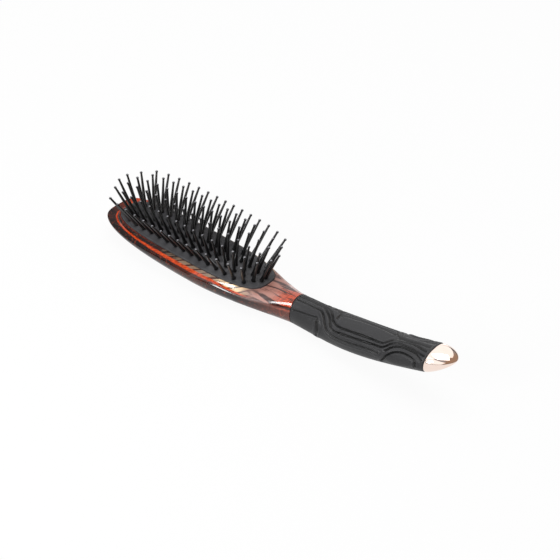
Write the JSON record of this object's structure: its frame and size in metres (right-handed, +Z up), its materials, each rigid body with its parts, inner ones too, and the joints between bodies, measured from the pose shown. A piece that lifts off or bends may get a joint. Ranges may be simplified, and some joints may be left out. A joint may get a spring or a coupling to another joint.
{
  "type": "cushion detangling brush",
  "caption": "Oval cushion brush with leaning ball-tipped pins, a glossy translucent brown moulding, a ribbed rubber grip and a polished end cap.",
  "frame": {"origin": "middle of the bounding box's bottom, on the plane the brush rests on", "axes": "+X from the head to the end cap, +Y across the brush, +Z up out of the cushion, the way the pins point"},
  "size_m": [0.2172, 0.0434, 0.035],
  "materials": {
    "shell": "clear brown, polished",
    "grip": "moulded matte",
    "cap": "plated, mirror bright",
    "pad": "fine matte",
    "pins": "smooth"
  },
  "bodies": {
    "handle": {"body_shell": "shell", "grip_sleeve": "grip", "end_cap": "cap"},
    "cushion": {"cushion_pad": "pad"},
    "pins_01": {"pin_row_01": "pins"},
    "pins_02": {"pin_row_02": "pins"},
    "pins_03": {"pin_row_03": "pins"},
    "pins_04": {"pin_row_04": "pins"},
    "pins_05": {"pin_row_05": "pins"},
    "pins_06": {"pin_row_06": "pins"},
    "pins_07": {"pin_row_07": "pins"},
    "pins_08": {"pin_row_08": "pins"},
    "pins_09": {"pin_row_09": "pins"},
    "pins_10": {"pin_row_10": "pins"},
    "pins_11": {"pin_row_11": "pins"},
    "pins_12": {"pin_row_12": "pins"},
    "pins_13": {"pin_row_13": "pins"},
    "pins_14": {"pin_row_14": "pins"},
    "pins_15": {"pin_row_15": "pins"},
    "pins_16": {"pin_row_16": "pins"},
    "pins_17": {"pin_row_17": "pins"}
  },
  "joints": [
    {"name": "cushion_press", "type": "slide", "parent": "handle", "child": "cushion", "axis": [0, 0, -1], "range_m": [0, 0.002], "stiffness_N_per_m": 5000, "deforming": ["cushion_pad"]},
    {"name": "row_lean_01", "type": "hinge", "parent": "cushion", "child": "pins_01", "pos_m": [-0.09506, 0, 0.01433], "axis": [0, 1, 0], "range_deg": [-6, 6], "stiffness_Nm_per_rad": 0.05},
    {"name": "row_lean_02", "type": "hinge", "parent": "cushion", "child": "pins_02", "pos_m": [-0.08951, 0, 0.01489], "axis": [0, 1, 0], "range_deg": [-6, 6], "stiffness_Nm_per_rad": 0.05},
    {"name": "row_lean_03", "type": "hinge", "parent": "cushion", "child": "pins_03", "pos_m": [-0.08395, 0, 0.01537], "axis": [0, 1, 0], "range_deg": [-6, 6], "stiffness_Nm_per_rad": 0.05},
    {"name": "row_lean_04", "type": "hinge", "parent": "cushion", "child": "pins_04", "pos_m": [-0.07839, 0, 0.01577], "axis": [0, 1, 0], "range_deg": [-6, 6], "stiffness_Nm_per_rad": 0.05},
    {"name": "row_lean_05", "type": "hinge", "parent": "cushion", "child": "pins_05", "pos_m": [-0.07283, 0, 0.01609], "axis": [0, 1, 0], "range_deg": [-6, 6], "stiffness_Nm_per_rad": 0.05},
    {"name": "row_lean_06", "type": "hinge", "parent": "cushion", "child": "pins_06", "pos_m": [-0.06727, 0, 0.01634], "axis": [0, 1, 0], "range_deg": [-6, 6], "stiffness_Nm_per_rad": 0.05},
    {"name": "row_lean_07", "type": "hinge", "parent": "cushion", "child": "pins_07", "pos_m": [-0.06171, 0, 0.0165], "axis": [0, 1, 0], "range_deg": [-6, 6], "stiffness_Nm_per_rad": 0.05},
    {"name": "row_lean_08", "type": "hinge", "parent": "cushion", "child": "pins_08", "pos_m": [-0.05616, 0, 0.01659], "axis": [0, 1, 0], "range_deg": [-6, 6], "stiffness_Nm_per_rad": 0.05},
    {"name": "row_lean_09", "type": "hinge", "parent": "cushion", "child": "pins_09", "pos_m": [-0.0506, 0, 0.01659], "axis": [0, 1, 0], "range_deg": [-6, 6], "stiffness_Nm_per_rad": 0.05},
    {"name": "row_lean_10", "type": "hinge", "parent": "cushion", "child": "pins_10", "pos_m": [-0.04504, 0, 0.01652], "axis": [0, 1, 0], "range_deg": [-6, 6], "stiffness_Nm_per_rad": 0.05},
    {"name": "row_lean_11", "type": "hinge", "parent": "cushion", "child": "pins_11", "pos_m": [-0.03948, 0, 0.01637], "axis": [0, 1, 0], "range_deg": [-6, 6], "stiffness_Nm_per_rad": 0.05},
    {"name": "row_lean_12", "type": "hinge", "parent": "cushion", "child": "pins_12", "pos_m": [-0.03392, 0, 0.01614], "axis": [0, 1, 0], "range_deg": [-6, 6], "stiffness_Nm_per_rad": 0.05},
    {"name": "row_lean_13", "type": "hinge", "parent": "cushion", "child": "pins_13", "pos_m": [-0.02837, 0, 0.01583], "axis": [0, 1, 0], "range_deg": [-6, 6], "stiffness_Nm_per_rad": 0.05},
    {"name": "row_lean_14", "type": "hinge", "parent": "cushion", "child": "pins_14", "pos_m": [-0.02281, 0, 0.01545], "axis": [0, 1, 0], "range_deg": [-6, 6], "stiffness_Nm_per_rad": 0.05},
    {"name": "row_lean_15", "type": "hinge", "parent": "cushion", "child": "pins_15", "pos_m": [-0.01725, 0, 0.01498], "axis": [0, 1, 0], "range_deg": [-6, 6], "stiffness_Nm_per_rad": 0.05},
    {"name": "row_lean_16", "type": "hinge", "parent": "cushion", "child": "pins_16", "pos_m": [-0.01169, 0, 0.01443], "axis": [0, 1, 0], "range_deg": [-6, 6], "stiffness_Nm_per_rad": 0.05},
    {"name": "row_lean_17", "type": "hinge", "parent": "cushion", "child": "pins_17", "pos_m": [-0.00613, 0, 0.01381], "axis": [0, 1, 0], "range_deg": [-6, 6], "stiffness_Nm_per_rad": 0.05}
  ]
}
